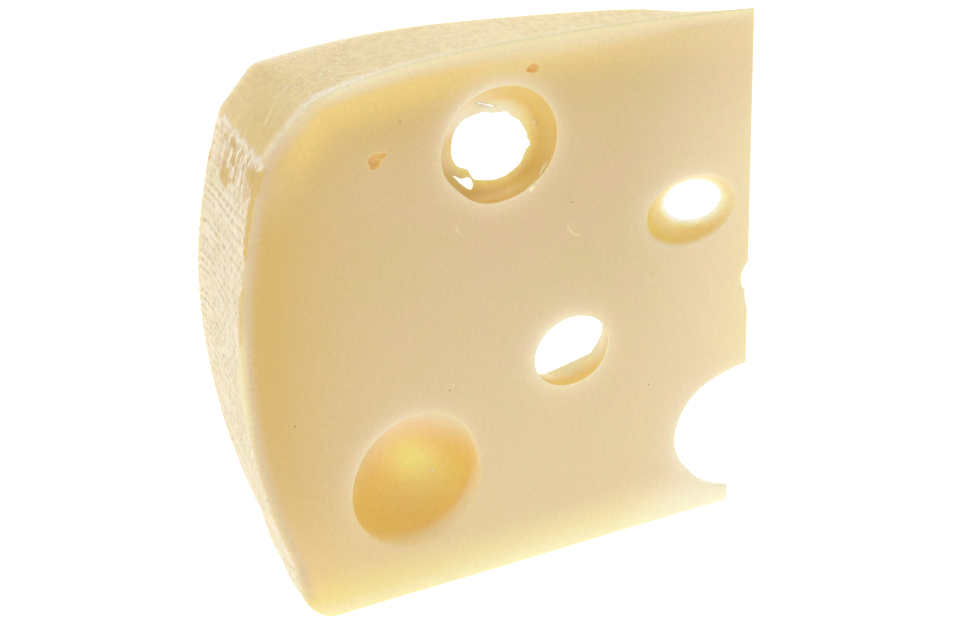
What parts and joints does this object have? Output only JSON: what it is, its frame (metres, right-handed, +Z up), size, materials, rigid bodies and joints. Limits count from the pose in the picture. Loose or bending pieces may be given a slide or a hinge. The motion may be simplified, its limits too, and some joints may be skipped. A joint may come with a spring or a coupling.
{
  "type": "cheese wedge",
  "caption": "Thin wedge cut from a wheel of hard cheese with large round eyes, standing on its base crust, with a cloth-printed rim and a domed top.",
  "frame": {"origin": "centre of the bounding box's underside, on the surface the wedge stands on", "axes": "+Z up along the wheel's height, +X from the rim towards the thin edge, -Y out of the front cut face"},
  "size_m": [0.1404, 0.0288, 0.148],
  "materials": {
    "cheese": "moist, slightly translucent pale yellow paste with a thin waxy crust"
  },
  "bodies": {
    "root": {"cheese_wedge": "cheese"}
  },
  "joints": []
}
